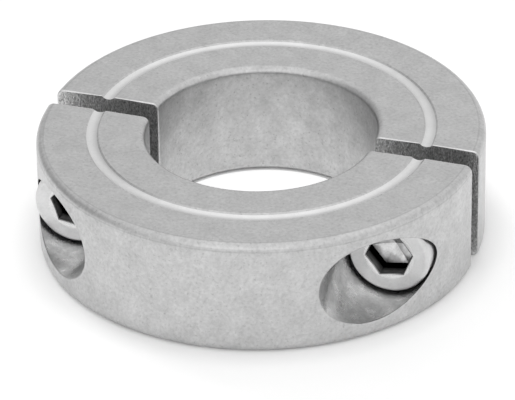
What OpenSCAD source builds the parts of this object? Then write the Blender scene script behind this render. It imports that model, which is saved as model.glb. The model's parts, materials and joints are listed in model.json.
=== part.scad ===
// Two-piece clamp collar for a round shaft.
// The front half is counterbored for two socket head screws, and the rear half is tapped for them.
// The shaft lies along Z, the split along X, and the screw heads face -Y.
// The origin is on the rear half's bore axis, at half the collar's width. Millimetres.

/* [Ring] */
// Diameter of the shaft that the bore is cut for
bore_d = 23; // [16:0.5:40]
// Metal between the bore and the outside
ring_wall = 11; // [10.5:0.1:16]
// Width along the shaft
width = 12.2; // [11:0.1:20]
// Radius on the outer edges
outer_edge_r = 0.8; // [0.3:0.05:1.5]
// Radius on the edges of the bore
bore_edge_r = 0.7; // [0.3:0.05:1.5]

/* [Face groove] */
// Metal between the bore and the middle of the groove
groove_inset = 5.4; // [3:0.1:8]
// Width of the groove at the face
groove_w = 1.38; // [0.6:0.02:2]
// Depth of its round bottom
groove_depth = 0.28; // [0.1:0.02:0.4]

/* [Split] */
// Gap between the halves when both lie on the shaft
kerf = 1.18; // [0.6:0.02:2]
// How far the loosened front half stands off its place on the shaft
opening = 1.54; // [0:0.02:4]
// Width of the deburred edges of the sawn faces, along each face
edge_break = 0.14; // [0.05:0.01:0.3]

/* [Screws] */
// Outside diameter of the thread
thread_d = 5; // [4:0.5:6]
// Length under the head
screw_l = 14; // [10:1:16]
// Diameter of the head
head_d = 8.35; // [7:0.05:9.5]
// Height of the head
head_h = 5; // [4:0.1:6]
// Radius on the rim of the head
head_edge_r = 0.45; // [0.2:0.05:0.8]
// Size of the key across the socket's flats
socket_flats = 4.1; // [3:0.05:5]
// Depth of the socket's flats
socket_depth = 2.2; // [1.5:0.1:3]
// Depth of the shallow point in the socket's floor
socket_point = 0.6; // [0.1:0.05:0.8]
// Width of the chamfer round the socket's mouth, past its corners
socket_chamfer = 0.24; // [0.05:0.01:0.4]
// Included angle of that chamfer
socket_chamfer_angle = 145; // [90:1:160]
// Chamfer on the end of the thread
tip_chamfer = 0.6; // [0.2:0.1:0.9]
// Turn of the right screw's socket, from +X towards +Z
right_socket_turn = 8; // [0:1:59]
// Turn of the left screw's socket, from +X towards +Z
left_socket_turn = 48; // [0:1:59]

/* [Screw holes] */
// Metal between the bore and the thread, at the split
thread_wall = 2.55; // [1.5:0.05:4]
// Metal between the front half's sawn face and the seat of the heads
seat_wall = 4.3; // [3:0.1:6]
// Room all round a head in its counterbore
head_clearance = 0.2; // [0.05:0.01:0.4]
// Room all round a screw in its plain hole
shank_clearance = 0.25; // [0.1:0.05:0.4]
// Running room all round a screw in its tapped hole
thread_clearance = 0.03; // [0.02:0.01:0.08]
// Room past a screw's end when the halves meet
tip_room = 0.3; // [0.1:0.1:1]
// Countersink at the mouth of a tapped hole, past the thread
tap_countersink = 0.3; // [0.1:0.1:0.6]
// Angle of the drill points
drill_angle = 118; // [90:1:140]

/* [Hidden] */
$fn = 96;
bore_r = bore_d / 2;
outer_r = bore_r + ring_wall;
groove_r = groove_w ^ 2 / (8 * groove_depth) + groove_depth / 2;
screw_x = bore_r + thread_wall + thread_d / 2;
seat_y = -kerf / 2 - seat_wall;
thread_hole_r = thread_d / 2 + thread_clearance;
tapped_depth = screw_l - seat_wall + tip_room;
socket_corner_r = socket_flats / 2 / cos(30);
cut = 1;

// Where a circle about the shaft meets a sawn face
function split_x(r) = sqrt(r ^ 2 - (kerf / 2) ^ 2);

// Height of a cone of radius r and included angle a
function point_h(r, a) = r / tan(a / 2);

// Block with its two outer corners rounded, lying along +X from the origin
module rounded_end(length, r) {
  translate([0, -width / 2])
    square([length - r, width]);
  translate([0, -width / 2 + r])
    square([length, width - 2 * r]);
  for (side = [-1, 1])
    translate([length - r, side * (width / 2 - r)])
      circle(r);
}

// Section of the ring on one side of the shaft, with the groove in its upper face
module ring_section() {
  difference() {
    translate([bore_r + ring_wall / 2, 0]) {
      rounded_end(ring_wall / 2, outer_edge_r);
      mirror([1, 0])
        rounded_end(ring_wall / 2, bore_edge_r);
    }
    translate([bore_r + groove_inset, width / 2 + groove_r - groove_depth])
      circle(groove_r);
  }
}

// Bar of square section with a corner at each edge that it takes off
module edge_bar(length) {
  rotate([0, 0, 45])
    cube([edge_break * sqrt(2), edge_break * sqrt(2), length], center = true);
}

// Half of the ring on the -Y side of the split, its sawn edges deburred
module plain_half() {
  difference() {
    rotate_extrude()
      ring_section();
    translate([-outer_r - cut, -kerf / 2, -width / 2 - cut])
      cube([2 * (outer_r + cut), outer_r + kerf, width + 2 * cut]);
    for (side = [-1, 1]) {
      translate([0, -kerf / 2, side * width / 2])
        rotate([0, 90, 0])
          edge_bar(2 * outer_r);
      for (r = [bore_r, outer_r])
        translate([side * split_x(r), -kerf / 2, 0])
          edge_bar(width);
    }
  }
}

// Places what it is given at both screws, with its own +Z towards the heads
module at_screws(y) {
  for (side = [-1, 1])
    translate([side * screw_x, y, 0])
      rotate([90, 0, 0])
        children();
}

// Half with the counterbores, standing off the shaft by the opening
module front_half() {
  color([0.74, 0.74, 0.73])
    translate([0, -opening, 0])
      difference() {
        plain_half();
        at_screws(seat_y)
          cylinder(r = head_d / 2 + head_clearance, h = outer_r);
        at_screws(0)
          cylinder(r = thread_d / 2 + shank_clearance, h = outer_r);
      }
}

// Half with the tapped holes, on the shaft's axis
module rear_half() {
  color([0.74, 0.74, 0.73])
    difference() {
      mirror([0, 1, 0])
        plain_half();
      at_screws(kerf / 2 + tapped_depth)
        cylinder(r = thread_hole_r, h = tapped_depth + cut);
      at_screws(kerf / 2 + tapped_depth + point_h(thread_hole_r, drill_angle))
        cylinder(r1 = 0, r2 = thread_hole_r, h = point_h(thread_hole_r, drill_angle));
      at_screws(kerf / 2 + tap_countersink)
        cylinder(r1 = thread_hole_r, r2 = thread_hole_r + 2 * tap_countersink, h = 2 * tap_countersink);
    }
}

// Half section of a screw, its seat at the origin and its head upwards
module screw_section() {
  square([head_d / 2, head_h - head_edge_r]);
  square([head_d / 2 - head_edge_r, head_h]);
  translate([head_d / 2 - head_edge_r, head_h - head_edge_r])
    circle(head_edge_r);
  translate([0, tip_chamfer - screw_l])
    square([thread_d / 2, screw_l - tip_chamfer]);
  polygon([
    [0, -screw_l],
    [thread_d / 2 - tip_chamfer, -screw_l],
    [thread_d / 2, tip_chamfer - screw_l],
    [0, tip_chamfer - screw_l]
  ]);
}

// Six-sided key socket with a shallow pointed floor and a chamfered mouth
module key_socket() {
  floor_z = head_h - socket_depth;
  mouth_r = socket_corner_r + socket_chamfer;
  mouth_h = point_h(mouth_r, socket_chamfer_angle);
  translate([0, 0, floor_z])
    cylinder(r = socket_corner_r, h = socket_depth + cut, $fn = 6);
  translate([0, 0, floor_z - socket_point])
    cylinder(r1 = 0, r2 = socket_flats / 2, h = socket_point);
  translate([0, 0, head_h - mouth_h])
    cylinder(r1 = 0, r2 = mouth_r, h = mouth_h);
}

// Socket head screw, seated in the front half
module screw(side, socket_turn) {
  color([0.78, 0.78, 0.77])
    translate([side * screw_x, seat_y - opening, 0])
      rotate([90, 0, 0])
        difference() {
          rotate_extrude()
            screw_section();
          rotate([0, 0, socket_turn])
            key_socket();
        }
}

module right_screw() {
  screw(1, right_socket_turn);
}

module left_screw() {
  screw(-1, left_socket_turn);
}

front_half();
rear_half();
right_screw();
left_screw();
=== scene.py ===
import json
import math
import bmesh
import bpy
from mathutils import Matrix, Vector


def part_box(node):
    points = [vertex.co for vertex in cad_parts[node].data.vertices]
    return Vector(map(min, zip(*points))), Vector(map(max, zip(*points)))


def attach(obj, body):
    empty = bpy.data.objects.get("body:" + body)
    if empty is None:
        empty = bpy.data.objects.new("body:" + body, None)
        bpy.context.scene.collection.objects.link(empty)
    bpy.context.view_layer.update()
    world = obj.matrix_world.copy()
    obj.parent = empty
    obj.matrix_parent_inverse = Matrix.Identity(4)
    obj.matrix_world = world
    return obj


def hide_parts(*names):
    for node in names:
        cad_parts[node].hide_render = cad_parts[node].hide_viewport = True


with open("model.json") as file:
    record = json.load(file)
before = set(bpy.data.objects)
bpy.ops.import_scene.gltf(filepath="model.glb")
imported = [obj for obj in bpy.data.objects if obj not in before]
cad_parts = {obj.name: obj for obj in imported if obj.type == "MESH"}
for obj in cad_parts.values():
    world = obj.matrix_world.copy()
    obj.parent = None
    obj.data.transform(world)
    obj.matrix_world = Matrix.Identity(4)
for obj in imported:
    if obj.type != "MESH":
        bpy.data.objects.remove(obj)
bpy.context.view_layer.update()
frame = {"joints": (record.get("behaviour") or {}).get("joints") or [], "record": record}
print("frame loaded")

mm = 0.001
tiny = 0.0001 * mm    # points closer than this are one point
small = 0.001 * mm    # the same after many steps of turning
white = (1, 1, 1, 1)
scene = bpy.context.scene
rearLow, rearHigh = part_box("rear_half")
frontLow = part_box("front_half")[0]
screwLow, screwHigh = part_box("right_screw")
joints = {joint["name"]: joint for joint in frame["joints"]}
mounts = {mount["name"]: mount for mount in frame["record"]["mounts"]}


# Gives each of a node's inputs a value or the output of another node
def setInputs(tree, node, inputs):
    for name, value in inputs.items():
        if isinstance(value, bpy.types.NodeSocket):
            tree.links.new(value, node.inputs[name])
        else:
            node.inputs[name].default_value = value


def addNode(tree, kind, inputs, **settings):
    node = tree.nodes.new(kind)
    for name, value in settings.items():
        setattr(node, name, value)
    setInputs(tree, node, inputs)
    return node


def addMath(tree, operation, first, second):
    return addNode(tree, "ShaderNodeMath", {0: first, 1: second}, operation=operation).outputs[0]


def addRange(tree, value, fromLow, fromHigh, toLow, toHigh):
    inputs = {"Value": value, "From Min": fromLow, "From Max": fromHigh, "To Min": toLow, "To Max": toHigh}
    return addNode(tree, "ShaderNodeMapRange", inputs).outputs["Result"]


def newMaterial(name):
    material = bpy.data.materials.new(name)
    material.use_nodes = True
    return material, material.node_tree, material.node_tree.nodes["Principled BSDF"]


marks = {
    "bands": {   # detail of each mark's noise, and the band of that noise which becomes 0 to 1
        "Blotch": (3.0, 0.28, 0.72), "Grain": (2.0, 0.28, 0.72),
        "Pit": (1.0, 0.64, 0.74), "Scuff": (1.0, 0.66, 0.74),
    },
    "roughness": 0.6, "pitScale": 1.3,
    "strokeTurns": ((0.3, 0.5, 0.9), (1.4, -0.4, 2.3), (0.8, 1.5, 0.2)), "strokeStretch": (1, 1, 7),
}


# Marks that tumbling, cutting and handling leave on steel, each from 0 to 1
def makeMarksGroup():
    tree = bpy.data.node_groups.new("steelMarks", "ShaderNodeTree")
    tree.interface.new_socket("Vector", in_out="INPUT", socket_type="NodeSocketVector")
    for name in ("Blotch Size", "Grain Size"):
        tree.interface.new_socket(name, in_out="INPUT", socket_type="NodeSocketFloat")
    for name in marks["bands"]:
        tree.interface.new_socket(name, in_out="OUTPUT", socket_type="NodeSocketFloat")
    given = tree.nodes.new("NodeGroupInput").outputs
    result = tree.nodes.new("NodeGroupOutput")
    place = given["Vector"]
    blotchScale = addMath(tree, "DIVIDE", 1.0, given["Blotch Size"])
    grainScale = addMath(tree, "DIVIDE", 1.0, given["Grain Size"])
    pitScale = addMath(tree, "MULTIPLY", grainScale, marks["pitScale"])

    def cloud(name, vector, scale):
        detail, low, high = marks["bands"][name]
        inputs = {"Vector": vector, "Scale": scale, "Detail": detail, "Roughness": marks["roughness"]}
        return addRange(tree, addNode(tree, "ShaderNodeTexNoise", inputs).outputs["Fac"], low, high, 0, 1)

    scuff = 0.0
    for turn in marks["strokeTurns"]:   # short strokes, each lot in its own direction
        inputs = {"Vector": place, "Rotation": turn, "Scale": marks["strokeStretch"]}
        stroke = addNode(tree, "ShaderNodeMapping", inputs, vector_type="TEXTURE").outputs["Vector"]
        scuff = addMath(tree, "MAXIMUM", scuff, cloud("Scuff", stroke, grainScale))
    setInputs(tree, result, {
        "Blotch": cloud("Blotch", place, blotchScale), "Grain": cloud("Grain", place, grainScale),
        "Pit": cloud("Pit", place, pitScale), "Scuff": scuff,
    })
    return tree


marksGroup = makeMarksGroup()


# Bare steel: its tone varies by each mark's share, and its gloss and relief follow the marks
def makeSteel(look):
    material, tree, shader = newMaterial(look["name"])
    place = tree.nodes.new("ShaderNodeTexCoord").outputs["Object"]
    stretched = {"Vector": place, "Scale": look.get("stretch", (1, 1, 1))}
    flow = addNode(tree, "ShaderNodeMapping", stretched).outputs["Vector"]
    sizes = {"Vector": flow, "Blotch Size": look["blotchSize"], "Grain Size": look["grainSize"]}
    marked = addNode(tree, "ShaderNodeGroup", sizes, node_tree=marksGroup).outputs
    level = look["level"]
    for name, share in look["shares"].items():
        level = addMath(tree, "MULTIPLY", level, addRange(tree, marked[name], 0, 1, 1 + share, 1 - share))
    # A fade paints shade: the key socket's walls grow darker deeper into the recess
    if "fade" in look:   # the tone falls to a share of itself along one axis
        axis, start, end, share = look["fade"]
        depth = addNode(tree, "ShaderNodeSeparateXYZ", {"Vector": place}).outputs[axis]
        level = addMath(tree, "MULTIPLY", level, addRange(tree, depth, start, end, 1, share))
    colour = addNode(tree, "ShaderNodeCombineColor", {"Red": level, "Green": level, "Blue": level})
    waves = addMath(tree, "MULTIPLY", marked["Blotch"], look["wave"])
    height = addMath(tree, "ADD", waves, marked["Grain"])
    relief = {"Strength": look["bump"], "Distance": look["relief"], "Height": height}
    setInputs(tree, shader, {
        "Base Color": colour.outputs["Color"], "Metallic": 1.0,
        "Roughness": addRange(tree, marked["Blotch"], 0, 1, *look["roughness"]),
        "Specular Tint": look.get("glance", white),   # colour of a glancing reflection
        "Normal": addNode(tree, "ShaderNodeBump", relief).outputs["Normal"],
    })
    return material


tumbled = {
    "name": "tumbledSteel", "level": 0.48, "roughness": (0.33, 0.41),
    "blotchSize": 2.2 * mm, "grainSize": 0.36 * mm, "wave": 0.5, "bump": 0.3, "relief": 0.015 * mm,
    "shares": {"Blotch": 0.07, "Grain": 0.1, "Pit": 0.1, "Scuff": 0.04},
}
sawn = {
    "name": "sawnSteel", "level": 0.67, "roughness": (0.28, 0.38), "stretch": (1, 1, 0.5),
    "blotchSize": 0.9 * mm, "grainSize": 0.14 * mm, "wave": 0.5, "bump": 0.8, "relief": 0.03 * mm,
    "shares": {"Blotch": 0.25, "Grain": 0.55, "Pit": -0.25, "Scuff": 0.05},
}
drilled = {
    "name": "drilledSteel", "level": 0.69, "roughness": (0.24, 0.34),
    "blotchSize": 1.3 * mm, "grainSize": 0.3 * mm, "wave": 1.0, "bump": 0.18, "relief": 0.006 * mm,
    "shares": {"Blotch": 0.18, "Grain": 0.08, "Pit": 0.06, "Scuff": 0.02},
}
turned = {
    "name": "turnedSteel", "level": 0.71, "roughness": (0.30, 0.38),
    "blotchSize": 2.0 * mm, "grainSize": 0.2 * mm, "wave": 0.5, "bump": 0.1, "relief": 0.01 * mm,
    "shares": {"Blotch": 0.04, "Grain": 0.02, "Pit": 0.04, "Scuff": 0.02},
}
bored = {
    "name": "boredSteel", "level": 0.435, "roughness": (0.34, 0.44),
    "blotchSize": 2.0 * mm, "grainSize": 0.36 * mm, "wave": 0.5, "bump": 0.3, "relief": 0.015 * mm,
    "shares": {"Blotch": 0.09, "Grain": 0.1, "Pit": 0.14, "Scuff": 0.04},
}
# The eased edges along the top are real; their brighter tone is a painted highlight
paintedRimHighlight = {
    "name": "deburredSteel", "level": 0.65, "roughness": (0.30, 0.40),
    "blotchSize": 1.0 * mm, "grainSize": 0.2 * mm, "wave": 0.5, "bump": 0.2, "relief": 0.01 * mm,
    "shares": {"Blotch": 0.1, "Grain": 0.1, "Pit": 0.1, "Scuff": 0.02},
}
# Painted dark reflection: a darker copy of the tumbled steel for thin bands along the outer edge's round
edgeLine = dict(tumbled, name="edgeLineSteel", level=0.42)
ringLooks = [tumbled, sawn, drilled, turned, bored, paintedRimHighlight, edgeLine]
ringMaterials = [makeSteel(look) for look in ringLooks]
ringSlots = {look["name"]: number for number, look in enumerate(ringLooks)}

headTop = screwLow.y
headed = {
    "name": "screwSteel", "level": 0.64, "roughness": (0.34, 0.42),
    "blotchSize": 1.3 * mm, "grainSize": 0.25 * mm, "wave": 5.0, "bump": 0.3, "relief": 0.006 * mm,
    "shares": {"Blotch": 0.06, "Grain": 0.03, "Pit": 0.03, "Scuff": 0.03},
}
# Painted shade: the key socket's walls are painted nearly black, darker still deeper in, and their glancing
# reflection is black
paintedSocketShade = {
    "name": "punchedSteel", "level": 0.2, "roughness": (0.30, 0.45), "glance": (0, 0, 0, 1),
    "fade": ("Y", headTop + 0.5 * mm, headTop + 1.3 * mm, 0.03),
    "blotchSize": 0.9 * mm, "grainSize": 0.2 * mm, "wave": 1.0, "bump": 0.15, "relief": 0.01 * mm,
    "shares": {"Blotch": 0.3, "Grain": 0.05, "Pit": 0.05, "Scuff": 0.02},
}
socketFloor = {
    "name": "socketFloorSteel", "level": 0.63, "roughness": (0.28, 0.36),
    "blotchSize": 0.8 * mm, "grainSize": 0.2 * mm, "wave": 1.0, "bump": 0.15, "relief": 0.006 * mm,
    "shares": {"Blotch": 0.25, "Grain": 0.05, "Pit": 0.05, "Scuff": 0.02},
}
coined = {
    "name": "chamferSteel", "level": 0.68, "roughness": (0.22, 0.30),
    "blotchSize": 1.0 * mm, "grainSize": 0.2 * mm, "wave": 1.0, "bump": 0.2, "relief": 0.006 * mm,
    "shares": {"Blotch": 0.06, "Grain": 0.03, "Pit": 0.03, "Scuff": 0.02},
}
screwLooks = [headed, paintedSocketShade, socketFloor, coined]
screwMaterials = [makeSteel(look) for look in screwLooks]
screwSlots = {look["name"]: number for number, look in enumerate(screwLooks)}
print("materials made")

sharpAngle = math.radians(32)


# Names and shades an object and gives it to the frame
def finishPiece(piece, name, body, node):
    piece.name = name
    piece.data.name = name
    piece.data.shade_smooth()
    piece.data.set_sharp_from_angle(angle=sharpAngle)
    smoothing = piece.modifiers.new("evenNormals", "WEIGHTED_NORMAL")
    smoothing.keep_sharp = True
    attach(piece, body)
    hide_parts(node)


def toObject(bm, name, materials):
    mesh = bpy.data.meshes.new(name)
    bm.to_mesh(mesh)
    bm.free()
    made = bpy.data.objects.new(name, mesh)
    for material in materials:
        mesh.materials.append(material)
    scene.collection.objects.link(made)
    return made


# Cuts or joins with other objects, which are used up
def combine(piece, others, operation):
    for other in others:
        modifier = piece.modifiers.new("combine", "BOOLEAN")
        modifier.object = other
        modifier.operation = operation
        modifier.solver = "EXACT"
    evaluated = piece.evaluated_get(bpy.context.evaluated_depsgraph_get())
    old, piece.data = piece.data, bpy.data.meshes.new_from_object(evaluated)
    piece.modifiers.clear()
    bpy.data.meshes.remove(old)
    for other in others:
        bpy.data.meshes.remove(other.data)


# Open line of edges through pairs of radius and height
def drawLine(bm, outline):
    verts = [bm.verts.new((radius, 0, height)) for radius, height in outline]
    return verts + [bm.edges.new(pair) for pair in zip(verts, verts[1:])]


# Turns all that is drawn right round the Z axis
def turnAround(bm, steps):
    bmesh.ops.spin(bm, geom=bm.verts[:] + bm.edges[:], cent=(0, 0, 0), axis=(0, 0, 1),
                   angle=math.tau, steps=steps, use_merge=True)
    bmesh.ops.remove_doubles(bm, verts=bm.verts, dist=tiny)


def fillHoles(bm):
    return bmesh.ops.holes_fill(bm, edges=[e for e in bm.edges if e.is_boundary])["faces"]


ring = {
    "outerR": rearHigh.y, "boreR": mounts["shaft_bore"]["dims"]["r_mm"] * mm,
    "width": rearHigh.z - rearLow.z, "halfKerf": rearLow.y, "opening": -frontLow.y - rearHigh.y,
    "outerEdge": 0.8 * mm, "boreEdge": 0.7 * mm, "edgeSteps": 8, "boreSkin": 0.01 * mm,
    "grooveInset": 5.4 * mm, "grooveWidth": 1.38 * mm, "grooveDepth": 0.28 * mm,
    "grooveRound": 0.97, "grooveBright": 1.1 * mm,
    "turnSteps": 180, "wallCuts": 26, "edgeBreak": 0.14 * mm, "breakSteps": 3,
    # past this slope of the outer edge's round the tone is painted darker, standing in for dark reflections
    "edgeLine": math.tan(math.radians(78)),   # the darker lines lie past this angle of the outer edge's round
}
ring["grooveR"] = ring["boreR"] + ring["grooveInset"]


# Section of the ring on +X, corners rounded, as a closed line of edges
def drawRingSection(bm):
    top, lip = ring["width"] / 2, ring["grooveWidth"] / 2
    valley = ring["grooveDepth"] / (math.sqrt(2) - 1)   # a rounded corner keeps this share of its depth
    outline = [
        (ring["boreR"], -top), (ring["outerR"], -top), (ring["outerR"], top),
        (ring["grooveR"] + lip, top), (ring["grooveR"], top - valley), (ring["grooveR"] - lip, top),
        (ring["boreR"], top),
    ]
    corners = [bm.verts.new((x, 0, z)) for x, z in outline]
    bm.faces.new(corners)
    lowBore, lowOuter, highOuter, _, groove, _, highBore = corners
    rounds = [
        ([lowOuter, highOuter], ring["outerEdge"]),
        ([lowBore, highBore], ring["boreEdge"]),
        ([groove], math.hypot(lip, valley) * ring["grooveRound"]),
    ]
    for some, size in rounds:
        bmesh.ops.bevel(bm, geom=some, offset=size, segments=ring["edgeSteps"], profile=0.5,
                        affect="VERTICES", material=-1)
    bmesh.ops.delete(bm, geom=bm.faces[:], context="FACES_ONLY")
    upright = [e for e in bm.edges if abs(e.verts[0].co.x - e.verts[1].co.x) < tiny]
    walls = [e for e in upright if e.calc_length() > top]
    bmesh.ops.subdivide_edges(bm, edges=walls, cuts=ring["wallCuts"])


def isInGroove(place):
    offset = abs(math.hypot(place.x, place.y) - ring["grooveR"])
    return offset < ring["grooveWidth"] / 2 and 0 < place.z < ring["width"] / 2 - small


def surfaceName(place):
    radius = math.hypot(place.x, place.y)
    if isInGroove(place) and abs(radius - ring["grooveR"]) < ring["grooveBright"] / 2:
        return "turnedSteel"
    rise = place.z - ring["width"] / 2 + ring["outerEdge"]
    reach = radius - ring["outerR"] + ring["outerEdge"]
    # the ends of the outer edge's round get a painted dark reflection
    if rise > 0 and reach > 0 and max(rise, reach) / min(rise, reach) > ring["edgeLine"]:
        return "edgeLineSteel"
    return "boredSteel" if radius < ring["boreR"] + ring["boreSkin"] else "tumbledSteel"


# Half ring on the -Y side, its ends flat in the saw's plane and their edges eased, with a painted highlight
# on the eased edges along the top
def makeHalf(name):
    bm = bmesh.new()
    drawRingSection(bm)
    bmesh.ops.spin(bm, geom=bm.verts[:] + bm.edges[:], cent=(0, 0, 0), axis=(0, 0, 1),
                   angle=-math.pi, steps=ring["turnSteps"])
    for vert in bm.verts:
        radius, angle = math.hypot(vert.co.x, vert.co.y), math.atan2(abs(vert.co.y), vert.co.x)
        lead = math.asin(ring["halfKerf"] / radius)
        angle = lead + angle * (1 - 2 * lead / math.pi)
        vert.co.x, vert.co.y = radius * math.cos(angle), -radius * math.sin(angle)
    ends = fillHoles(bm)
    bmesh.ops.recalc_face_normals(bm, faces=bm.faces)
    for face in bm.faces:
        face.material_index = ringSlots[surfaceName(face.calc_center_median())]
    for face in ends:
        face.material_index = ringSlots["sawnSteel"]
    rim = [e for f in ends for e in f.edges if not any(isInGroove(v.co) for v in e.verts)]
    eased = bmesh.ops.bevel(bm, geom=rim, offset=ring["edgeBreak"], segments=ring["breakSteps"], profile=0.5,
                            affect="EDGES", material=-1)
    # eased faces along the top get a painted highlight, the others stay tumbled
    for face in eased["faces"]:
        onTop = face.calc_center_median().z > ring["width"] / 2 - ring["edgeBreak"]
        face.material_index = ringSlots["deburredSteel" if onTop else "tumbledSteel"]
    return toObject(bm, name, ringMaterials)


screwX, seatY = joints["right_screw_turn"]["pos_m"][:2]
screw = {
    "x": screwX, "seatY": seatY, "length": screwHigh.y - seatY,
    "headR": (screwHigh.x - screwLow.x) / 2, "headHeight": seatY - screwLow.y,
    "headEdge": 0.45 * mm, "underEdge": 0.08 * mm, "edgeSteps": 6, "turnSteps": 96,
    "threadR": 2.5 * mm, "rootR": 2.02 * mm, "pitch": 0.8 * mm, "threadSteps": 40, "spareTurns": 3,
    "tipChamfer": 0.6 * mm, "overcut": 1 * mm,
    "socketFlats": 4.1 * mm, "socketDepth": 2.2 * mm, "socketPoint": 0.45 * mm,
    "socketChamfer": 0.24 * mm, "chamferAngle": math.radians(145),
    "chamferSteps": 48, "chamferTurn": math.radians(2),   # so that its corners miss those of the flats
    "mouthEase": 0.14 * mm, "mouthSteps": 3,
    "rightTurn": math.radians(8), "leftTurn": math.radians(48),
}
holes = {
    "headRoom": 0.25 * mm, "shankRoom": 0.25 * mm, "threadRoom": 0.03 * mm, "tipRoom": 0.3 * mm,
    "tapCountersink": 0.3 * mm, "pointAngle": math.radians(118), "steps": 128, "reach": 3 * mm,
    "rimEase": 0.25 * mm, "rimShares": (0, 0.35, 0.7, 1),   # from the wall, at 0, to the outside, at 1
}


# From a screw's own axes, with +Z towards its head, to the collar's
def screwAxes(side, y):
    return Matrix.Translation((side * screw["x"], y, 0)) @ Matrix.Rotation(math.radians(90), 4, "X")


# Cutter turned about a screw's axis
def turnedCutter(side, y, outline):
    bm = bmesh.new()
    drawLine(bm, outline)
    turnAround(bm, holes["steps"])
    bmesh.ops.transform(bm, matrix=screwAxes(side, y), verts=bm.verts)
    bmesh.ops.recalc_face_normals(bm, faces=bm.faces)
    for face in bm.faces:
        face.material_index = ringSlots["drilledSteel"]
    return toObject(bm, "cutter", ringMaterials)


# Counterbore whose mouth opens a little where it meets the outside, so that its rim is eased
def counterboreCutter(side):
    bm = bmesh.new()
    wallR, ease = screw["headR"] + holes["headRoom"], holes["rimEase"]
    centre = side * screw["x"]
    bmesh.ops.create_circle(bm, cap_ends=True, segments=holes["steps"], radius=wallR,
                            matrix=screwAxes(side, screw["seatY"] + ring["opening"]))
    for face in bm.faces:   # the seat
        face.material_index = ringSlots["drilledSteel"]

    def outsideY(radius, angle):
        return -math.sqrt(ring["outerR"] ** 2 - (centre + radius * math.cos(angle)) ** 2)

    def rimPlace(angle, share):
        rimY = outsideY(wallR, angle)
        slope = (outsideY(wallR + ease, angle) - rimY) / ease
        far = ease / math.hypot(1, slope)
        keep, go = (1 - share) ** 2, share ** 2
        middle = 1 - keep - go
        y = keep * (rimY + ease) + middle * rimY + go * outsideY(wallR + far, angle)
        return wallR + go * far, y

    def outPlace(angle):
        return rimPlace(angle, 1)[0], -ring["outerR"] - holes["reach"]

    rows = [lambda angle, share=share: rimPlace(angle, share) for share in holes["rimShares"]] + [outPlace]
    edges = bm.edges[:]
    for number, row in enumerate(rows):
        made = bmesh.ops.extrude_edge_only(bm, edges=edges)["geom"]
        for vert in [g for g in made if isinstance(g, bmesh.types.BMVert)]:
            angle = math.atan2(vert.co.z, vert.co.x - centre)
            radius, y = row(angle)
            vert.co = (centre + radius * math.cos(angle), y, radius * math.sin(angle))
        for face in [g for g in made if isinstance(g, bmesh.types.BMFace)]:
            face.material_index = ringSlots["drilledSteel" if number == 0 else "tumbledSteel"]
        edges = [g for g in made if isinstance(g, bmesh.types.BMEdge) and g.is_boundary]
    bmesh.ops.holes_fill(bm, edges=edges)
    bmesh.ops.recalc_face_normals(bm, faces=bm.faces)
    return toObject(bm, "cutter", ringMaterials)


def makeFrontHalf():
    half = makeHalf("frontHalf")
    shankR = screw["threadR"] + holes["shankRoom"]
    outline = [(0, 0), (shankR, 0), (shankR, ring["boreR"]), (0, ring["boreR"])]
    cutters = []
    for side in (-1, 1):
        cutters += [counterboreCutter(side), turnedCutter(side, 0, outline)]
    combine(half, cutters, "DIFFERENCE")
    half.data.transform(Matrix.Translation((0, -ring["opening"], 0)))
    finishPiece(half, "frontHalf", "front_half", "front_half")


def makeRearHalf():
    half = makeHalf("rearHalf")
    half.data.transform(Matrix.Rotation(math.pi, 4, "Z"))
    holeR = screw["threadR"] + holes["threadRoom"]
    seatWall = -screw["seatY"] - ring["opening"] - ring["halfKerf"]
    depth = screw["length"] - seatWall + holes["tipRoom"]
    point = holeR / math.tan(holes["pointAngle"] / 2)
    sink = holes["tapCountersink"]
    outline = [   # radius and distance from the sawn face: drill point, wall, countersink
        (0, -depth - point), (holeR, -depth), (holeR, -sink), (holeR + 2 * sink, sink), (0, sink),
    ]
    combine(half, [turnedCutter(side, ring["halfKerf"], outline) for side in (-1, 1)], "DIFFERENCE")
    finishPiece(half, "rearHalf", "rear_half", "rear_half")


makeFrontHalf()
makeRearHalf()
print("ring halves made")


# Head of a screw, its seat at the origin and its top towards +Z
def makeHead():
    bm = bmesh.new()
    headR, top = screw["headR"], screw["headHeight"]
    corners = [bm.verts.new((x, 0, z)) for x, z in ((0, 0), (headR, 0), (headR, top), (0, top))]
    bm.faces.new(corners)
    for corner, size in ((corners[1], screw["underEdge"]), (corners[2], screw["headEdge"])):
        bmesh.ops.bevel(bm, geom=[corner], offset=size, segments=screw["edgeSteps"], profile=0.5,
                        affect="VERTICES", material=-1)
    bmesh.ops.delete(bm, geom=bm.faces[:], context="FACES_ONLY")
    bmesh.ops.delete(bm, geom=[v for v in bm.verts if abs(v.co.x) < tiny], context="VERTS")
    turnAround(bm, screw["turnSteps"])
    fillHoles(bm)
    bmesh.ops.recalc_face_normals(bm, faces=bm.faces)
    return toObject(bm, "screwHead", screwMaterials)


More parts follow.
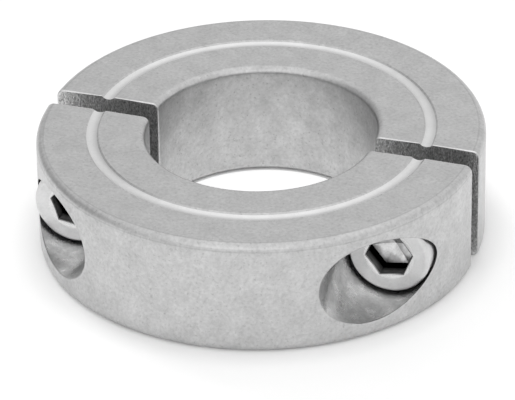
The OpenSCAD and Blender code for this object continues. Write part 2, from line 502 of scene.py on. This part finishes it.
# Threaded shank hanging below the seat, with a chamfered end
def makeShank():
    bm = bmesh.new()
    pitch, start = screw["pitch"], -screw["length"] - screw["pitch"]
    turns = math.ceil(screw["length"] / pitch) + screw["spareTurns"]
    crest, root = pitch / 8, pitch / 4   # flats of a standard thread
    flank = (pitch - crest - root) / 2
    profile = [(screw["rootR"], 0), (screw["rootR"], root), (screw["threadR"], root + flank),
               (screw["threadR"], root + flank + crest), (screw["rootR"], pitch)]
    line = drawLine(bm, [(radius, start + height) for radius, height in profile])
    steps = screw["threadSteps"] * turns
    bmesh.ops.spin(bm, geom=line, cent=(0, 0, 0), axis=(0, 0, 1), dvec=(0, 0, pitch * turns / steps),
                   angle=math.tau * turns, steps=steps)
    bmesh.ops.remove_doubles(bm, verts=bm.verts, dist=small)
    for height, outwards in ((-screw["length"], -1), (pitch / 2, 1)):
        bmesh.ops.bisect_plane(bm, geom=bm.verts[:] + bm.edges[:] + bm.faces[:], plane_co=(0, 0, height),
                               plane_no=(0, 0, outwards), clear_outer=True)
    for vert in bm.verts:
        room = screw["threadR"] - screw["tipChamfer"] + (vert.co.z + screw["length"])
        radius = math.hypot(vert.co.x, vert.co.y)
        if radius > room:
            vert.co.x *= room / radius
            vert.co.y *= room / radius
    fillHoles(bm)
    bmesh.ops.recalc_face_normals(bm, faces=bm.faces)
    return toObject(bm, "shank", screwMaterials)


# Key socket: six flats, a shallow pointed floor and a chamfered mouth
def socketCutters(turn):
    halfSide = math.radians(30)   # of a hexagon
    cornerR = screw["socketFlats"] / 2 / math.cos(halfSide)
    mouthR = cornerR + screw["socketChamfer"]
    slope = math.tan(screw["chamferAngle"] / 2)
    top, high = screw["headHeight"], screw["headHeight"] + screw["overcut"]
    coneR, coneTurn = mouthR + screw["overcut"] * slope, turn + screw["chamferTurn"]
    shapes = [   # look, segments, turn, low and high radius, low end
        # the walls of the six flats take the painted shade
        ("punchedSteel", 6, turn - halfSide, cornerR, cornerR, top - screw["socketDepth"]),
        ("chamferSteel", screw["chamferSteps"], coneTurn, 0, coneR, top - mouthR / slope),
    ]
    cutters = []
    for look, segments, angle, lowR, highR, low in shapes:
        bm = bmesh.new()
        place = Matrix.Translation((0, 0, (low + high) / 2)) @ Matrix.Rotation(angle, 4, "Z")
        bmesh.ops.create_cone(bm, cap_ends=True, segments=segments, radius1=lowR, radius2=highR,
                              depth=high - low, matrix=place)
        bm.normal_update()
        for face in bm.faces:
            face.material_index = screwSlots[look]
        if look == "punchedSteel":   # the punch leaves a shallow point of six slopes
            bottom = [face for face in bm.faces if face.normal.z < -0.5]
            for face in bmesh.ops.poke(bm, faces=bottom, offset=screw["socketPoint"])["faces"]:
                face.material_index = screwSlots["socketFloorSteel"]
        cutters.append(toObject(bm, "cutter", screwMaterials))
    return cutters


# The rim between the chamfer and the flats, rounded by the punch and painted with the walls' shade as a dark
# outline
def easeMouth(piece):
    bm = bmesh.new()
    bm.from_mesh(piece.data)
    sides = {screwSlots["punchedSteel"], screwSlots["chamferSteel"]}
    rim = [e for e in bm.edges if {face.material_index for face in e.link_faces} == sides]
    eased = bmesh.ops.bevel(bm, geom=rim, offset=screw["mouthEase"], segments=screw["mouthSteps"],
                            profile=0.5, affect="EDGES", material=-1)
    # painted shade: the rounded rim is drawn as a dark outline of the socket
    for face in eased["faces"]:
        face.material_index = screwSlots["punchedSteel"]
    bm.to_mesh(piece.data)
    bm.free()


def makeScrew(side, turn, name, node):
    piece = makeHead()
    combine(piece, [makeShank()], "UNION")
    combine(piece, socketCutters(turn), "DIFFERENCE")
    easeMouth(piece)
    piece.data.transform(screwAxes(side, screw["seatY"]))
    finishPiece(piece, name, node, node)
    for face in piece.data.polygons:   # each slope of the socket's floor stays flat
        if face.material_index == screwSlots["socketFloorSteel"]:
            face.use_smooth = False


makeScrew(1, screw["rightTurn"], "rightScrew", "right_screw")
makeScrew(-1, screw["leftTurn"], "leftScrew", "left_screw")
print("screws made")


# White table in a soft tent, with its own brightness overhead and on each side
studio = {
    "floorSize": 6.0, "floorColour": (0.91, 0.91, 0.91, 1), "floorRoughness": 0.9,
    # The floor's glow is lower next to the collar, a painted shadow, and higher a little way out, painted
    # light that offsets the collar's shade, falling away further off
    "floorGlow": 0.18, "contactGlow": 0.06, "glowReach": 2.8 * mm,
    # boreGlow paints light on the floor inside the bore, where the bore shades it
    "farGlow": 0.05, "farReach": 25 * mm, "boreGlow": 0.45,
    "overhead": 1.12, "overheadEdge": (math.sin(math.radians(35)), math.sin(math.radians(60))),
    # Each side low down, and higher up
    "back": (0.85, 0.85), "front": (0.85, 1.4), "left": (0.5, 0.42), "right": (0.9, 0.9),
    "sideEdge": (math.sin(math.radians(12)), math.sin(math.radians(25))),
    "lampPower": 7.5, "lampSize": 0.7, "lampPlace": (-1.28, 0.96, 1.2),
}


def makeFloor():
    bm = bmesh.new()
    bmesh.ops.create_grid(bm, x_segments=1, y_segments=1, size=studio["floorSize"] / 2,
                          matrix=Matrix.Translation((0, 0, rearLow.z)))
    material, tree, shader = newMaterial("whiteTable")
    path = tree.nodes.new("ShaderNodeLightPath").outputs
    seen = addMath(tree, "MAXIMUM", path["Is Camera Ray"], path["Is Glossy Ray"])
    seen = addMath(tree, "MAXIMUM", seen, path["Is Transmission Ray"])
    place = tree.nodes.new("ShaderNodeTexCoord").outputs["Object"]
    spot = addNode(tree, "ShaderNodeSeparateXYZ", {"Vector": place}).outputs
    # The halves stand apart along Y, so the radius is from the nearer half's axis
    between = addNode(tree, "ShaderNodeClamp", {"Value": spot["Y"], "Min": -ring["opening"], "Max": 0.0})
    aside = addMath(tree, "SUBTRACT", spot["Y"], between.outputs["Result"])
    flat = addNode(tree, "ShaderNodeCombineXYZ", {"X": spot["X"], "Y": aside}).outputs["Vector"]
    radius = addNode(tree, "ShaderNodeVectorMath", {0: flat}, operation="LENGTH").outputs["Value"]
    # painted light: the floor inside the bore glows more, so the bore's shade leaves it white
    inBore = addMath(tree, "MULTIPLY", addMath(tree, "LESS_THAN", radius, ring["boreR"]), studio["boreGlow"])
    # painted shadow next to the collar and painted light around it, by distance from the collar
    near = ring["outerR"] + studio["glowReach"]
    around = addRange(tree, radius, ring["outerR"], near, studio["contactGlow"], studio["floorGlow"])
    fall = addRange(tree, radius, near, near + studio["farReach"], 0, studio["floorGlow"] - studio["farGlow"])
    around = addMath(tree, "SUBTRACT", around, fall)
    setInputs(tree, shader, {
        "Base Color": studio["floorColour"], "Roughness": studio["floorRoughness"], "Specular IOR Level": 0.0,
        "Emission Color": white,
        "Emission Strength": addMath(tree, "MULTIPLY", seen, addMath(tree, "ADD", around, inBore)),
    })
    floor = toObject(bm, "floor", [material])


def makeSky():
    world = bpy.data.worlds.new("studio")
    scene.world = world
    world.use_nodes = True
    tree = world.node_tree
    direction = tree.nodes.new("ShaderNodeTexCoord").outputs["Generated"]
    parts = addNode(tree, "ShaderNodeSeparateXYZ", {"Vector": direction}).outputs
    flat = addNode(tree, "ShaderNodeCombineXYZ", {"X": parts["X"], "Y": parts["Y"]}).outputs["Vector"]
    unit = addNode(tree, "ShaderNodeVectorMath", {0: flat}, operation="NORMALIZE").outputs["Vector"]
    heading = addNode(tree, "ShaderNodeSeparateXYZ", {"Vector": unit}).outputs
    around = 0.0
    for name, axis, sign in (("right", "X", 1), ("left", "X", -1), ("back", "Y", 1), ("front", "Y", -1)):
        towards = addMath(tree, "MAXIMUM", addMath(tree, "MULTIPLY", heading[axis], sign), 0)
        share = addMath(tree, "POWER", towards, 2)   # the four shares add up to 1
        bright = addRange(tree, parts["Z"], *studio["sideEdge"], *studio[name])
        around = addMath(tree, "ADD", around, addMath(tree, "MULTIPLY", share, bright))
    height = addRange(tree, parts["Z"], *studio["overheadEdge"], 0, 1)
    above = addMath(tree, "MULTIPLY", height, studio["overhead"])
    beside = addMath(tree, "MULTIPLY", addMath(tree, "SUBTRACT", 1, height), around)
    isSeen = tree.nodes.new("ShaderNodeLightPath").outputs["Is Camera Ray"]
    strength = addMath(tree, "MAXIMUM", addMath(tree, "ADD", above, beside), isSeen)
    setInputs(tree, tree.nodes["Background"], {"Color": white, "Strength": strength})


# Overhead lamp behind the collar, for the shadow at its front
def makeLamp():
    data = bpy.data.lights.new("overheadLamp", "AREA")
    data.shape = "SQUARE"
    data.size = studio["lampSize"]
    data.energy = studio["lampPower"]
    lamp = bpy.data.objects.new("overheadLamp", data)
    lamp.location = studio["lampPlace"]
    lamp.rotation_euler = (-lamp.location).to_track_quat("-Z", "Y").to_euler()
    lamp.visible_glossy = False
    scene.collection.objects.link(lamp)


makeFloor()
makeSky()
makeLamp()
print("studio made")


# Camera as fitted to the photograph: where it stands, and how it is turned off the collar's middle
camera = {
    "distance": 450.4 * mm, "azimuth": math.radians(18.168), "elevation": math.radians(30.494),
    "pan": math.radians(-0.062), "tilt": math.radians(-0.272), "roll": math.radians(-0.748),
    "lens": 309.5, "sensor": 36.0, "clipStart": 10 * mm,
}


def makeCamera():
    middle = Vector((0, -ring["opening"] / 2, 0))
    flat = math.cos(camera["elevation"])
    away = Vector((math.sin(camera["azimuth"]) * flat, -math.cos(camera["azimuth"]) * flat,
                   math.sin(camera["elevation"])))
    right = Vector((math.cos(camera["azimuth"]), math.sin(camera["azimuth"]), 0))
    up = right.cross(-away)
    looks = Matrix((right, up, away)).transposed()
    turns = (Matrix.Rotation(-camera["pan"], 3, "Y") @ Matrix.Rotation(camera["tilt"], 3, "X")
             @ Matrix.Rotation(camera["roll"], 3, "Z"))
    data = bpy.data.cameras.new("camera")
    data.sensor_width = camera["sensor"]
    data.lens = camera["lens"]
    data.clip_start = camera["clipStart"]
    made = bpy.data.objects.new("camera", data)
    made.matrix_world = Matrix.Translation(middle + away * camera["distance"]) @ (looks @ turns).to_4x4()
    scene.collection.objects.link(made)
    scene.camera = made


makeCamera()
scene.view_settings.view_transform = "Standard"
print("camera placed")
